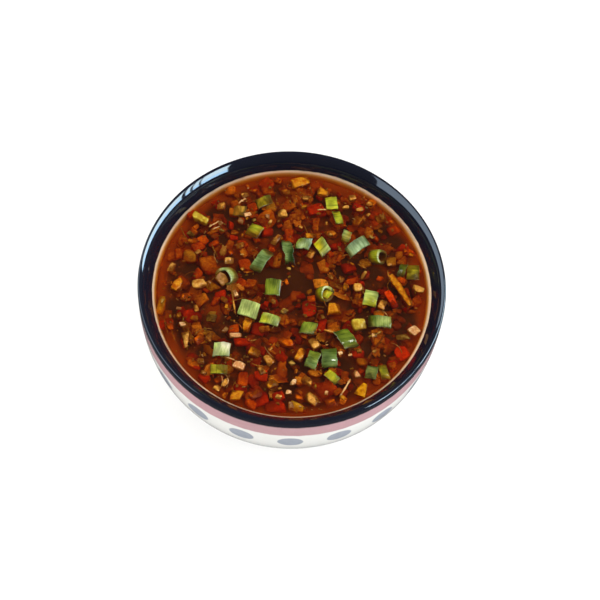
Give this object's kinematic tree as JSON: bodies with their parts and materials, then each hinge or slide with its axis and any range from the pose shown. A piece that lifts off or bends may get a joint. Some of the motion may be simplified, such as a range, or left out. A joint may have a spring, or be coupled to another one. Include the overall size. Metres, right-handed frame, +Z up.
{
  "type": "bowl of hot and sour soup",
  "caption": "Round footed porcelain bowl filled with hot and sour soup, with cut spring onion, carrot, pepper and corn standing out of a thick broth.",
  "frame": {"origin": "middle of the foot ring, on the plane that the bowl stands on", "axes": "+Z up along the bowl's axis, -Y towards the side that the picture sees from"},
  "size_m": [0.1308, 0.1308, 0.062],
  "materials": {
    "porcelain": "glossy white glaze with a dark blue rim band, a dusty pink stripe and a row of grey-blue dots",
    "broth": "wet, clear red-brown broth with fine diced vegetables",
    "spring_onion": "wet cut stalk, pale to mid green with fine ribs",
    "carrot": "wet cooked dice, orange",
    "red_pepper": "wet cooked strip, red",
    "corn": "wet kernel, deep yellow",
    "yellow_pepper": "wet cooked dice, yellow"
  },
  "bodies": {
    "root": {"bowl": "porcelain", "soup": "broth", "onion_slab_1": "spring_onion", "onion_slab_2": "spring_onion", "onion_slab_3": "spring_onion", "onion_slab_4": "spring_onion", "onion_slab_5": "spring_onion", "onion_slab_6": "spring_onion", "onion_slab_7": "spring_onion", "onion_slab_8": "spring_onion", "onion_slab_9": "spring_onion", "onion_slab_10": "spring_onion", "onion_slab_11": "spring_onion", "onion_slab_12": "spring_onion", "onion_slab_13": "spring_onion", "onion_slab_14": "spring_onion", "onion_slab_15": "spring_onion", "onion_slab_16": "spring_onion", "onion_slab_17": "spring_onion", "onion_slab_18": "spring_onion", "onion_slab_19": "spring_onion", "onion_slab_20": "spring_onion", "onion_slab_21": "spring_onion", "onion_slab_22": "spring_onion", "onion_slab_23": "spring_onion", "onion_slab_24": "spring_onion", "onion_slab_25": "spring_onion", "onion_slab_26": "spring_onion", "onion_slab_27": "spring_onion", "onion_ring_1": "spring_onion", "onion_ring_2": "spring_onion", "onion_ring_3": "spring_onion", "carrot_1": "carrot", "carrot_2": "carrot", "carrot_3": "carrot", "carrot_4": "carrot", "carrot_5": "carrot", "carrot_6": "carrot", "carrot_7": "carrot", "carrot_strip": "carrot", "pepper_1": "red_pepper", "corn_kernel": "corn", "yellow_pepper_1": "yellow_pepper", "yellow_pepper_2": "yellow_pepper", "yellow_pepper_3": "yellow_pepper", "olive_pepper": "yellow_pepper"}
  },
  "joints": []
}
